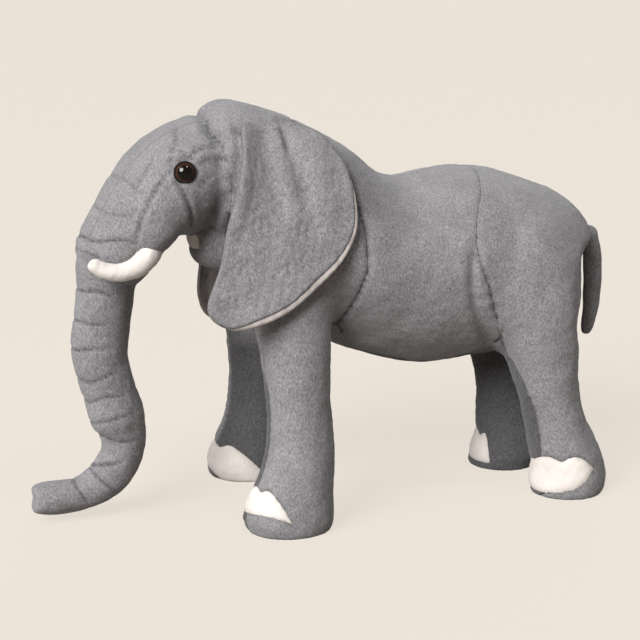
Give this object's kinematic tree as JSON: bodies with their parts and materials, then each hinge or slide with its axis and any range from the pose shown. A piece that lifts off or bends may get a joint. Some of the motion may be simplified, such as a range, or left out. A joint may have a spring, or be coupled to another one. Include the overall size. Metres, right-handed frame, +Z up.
{
  "type": "stuffed elephant",
  "caption": "Standing short-pile plush elephant with hanging ears, stuffed tusks, a curled trunk, scalloped toenails and a hanging tail.",
  "frame": {"origin": "on the floor, under the middle of the outer box", "axes": "+Z up; the elephant faces -X and its left side is -Y"},
  "size_m": [0.3529, 0.1537, 0.2341],
  "materials": {
    "grey_plush": "short brushed pile",
    "sole_plush": "short brushed pile",
    "cream_velour": "velour",
    "cream_lining": "velour",
    "stuffing": "loose polyester fibre",
    "eye_plastic": "glossy",
    "washer_plastic": "moulded"
  },
  "bodies": {
    "ear_left": {"ear_lining_left": "cream_lining", "ear_outer_left": "grey_plush"},
    "ear_right": {"ear_lining_right": "cream_lining", "ear_outer_right": "grey_plush"},
    "trunk_upper": {"trunk_cover_upper": "grey_plush", "trunk_stuffing_upper": "stuffing"},
    "trunk_lower": {"trunk_cover_lower": "grey_plush", "trunk_stuffing_lower": "stuffing"},
    "tail": {"tail_cover": "grey_plush", "tail_stuffing": "stuffing"},
    "body": {"barrel_cover_left": "grey_plush", "barrel_cover_right": "grey_plush", "belly_panel": "grey_plush", "eye_left": "eye_plastic", "eye_right": "eye_plastic", "eye_washer_left": "washer_plastic", "eye_washer_right": "washer_plastic", "forefoot_sole_left": "sole_plush", "forefoot_sole_right": "sole_plush", "forefoot_toenails_left": "cream_velour", "forefoot_toenails_right": "cream_velour", "forehead_gusset": "grey_plush", "foreleg_stuffing_left": "stuffing", "foreleg_stuffing_right": "stuffing", "head_side_left": "grey_plush", "head_side_right": "grey_plush", "head_stuffing": "stuffing", "hindfoot_sole_left": "sole_plush", "hindfoot_sole_right": "sole_plush", "hindfoot_toenails_left": "cream_velour", "hindfoot_toenails_right": "cream_velour", "hindleg_stuffing_left": "stuffing", "hindleg_stuffing_right": "stuffing", "hindquarter_cover_left": "grey_plush", "hindquarter_cover_right": "grey_plush", "jaw_cover": "grey_plush", "jaw_stuffing": "stuffing", "mouth_lining": "cream_lining", "shoulder_cover_left": "grey_plush", "shoulder_cover_right": "grey_plush", "torso_stuffing": "stuffing", "tusk_cover_left": "cream_velour", "tusk_cover_right": "cream_velour", "tusk_stuffing_left": "stuffing", "tusk_stuffing_right": "stuffing", "upper_lip_left": "grey_plush", "upper_lip_right": "grey_plush"}
  },
  "joints": [
    {"name": "ear_left_lift", "type": "hinge", "parent": "body", "child": "ear_left", "pos_m": [0, -0.0335, 0.222], "axis": [-1, 0, 0], "range_deg": [0, 60], "stiffness_Nm_per_rad": 0.01},
    {"name": "ear_right_lift", "type": "hinge", "parent": "body", "child": "ear_right", "pos_m": [0, 0.0335, 0.222], "axis": [1, 0, 0], "range_deg": [0, 60], "stiffness_Nm_per_rad": 0.01},
    {"name": "trunk_swing", "type": "hinge", "parent": "body", "child": "trunk_upper", "pos_m": [-0.125, 0, 0.1495], "axis": [0, 1, 0], "range_deg": [-3, 22], "stiffness_Nm_per_rad": 0.9},
    {"name": "trunk_curl", "type": "hinge", "parent": "trunk_upper", "child": "trunk_lower", "pos_m": [-0.1275, 0, 0.064], "axis": [0, 1, 0], "range_deg": [-3, 42], "stiffness_Nm_per_rad": 0.4},
    {"name": "tail_wag", "type": "hinge", "parent": "body", "child": "tail", "pos_m": [0.1665, 0, 0.146], "axis": [1, 0, 0], "range_deg": [-40, 40]}
  ]
}
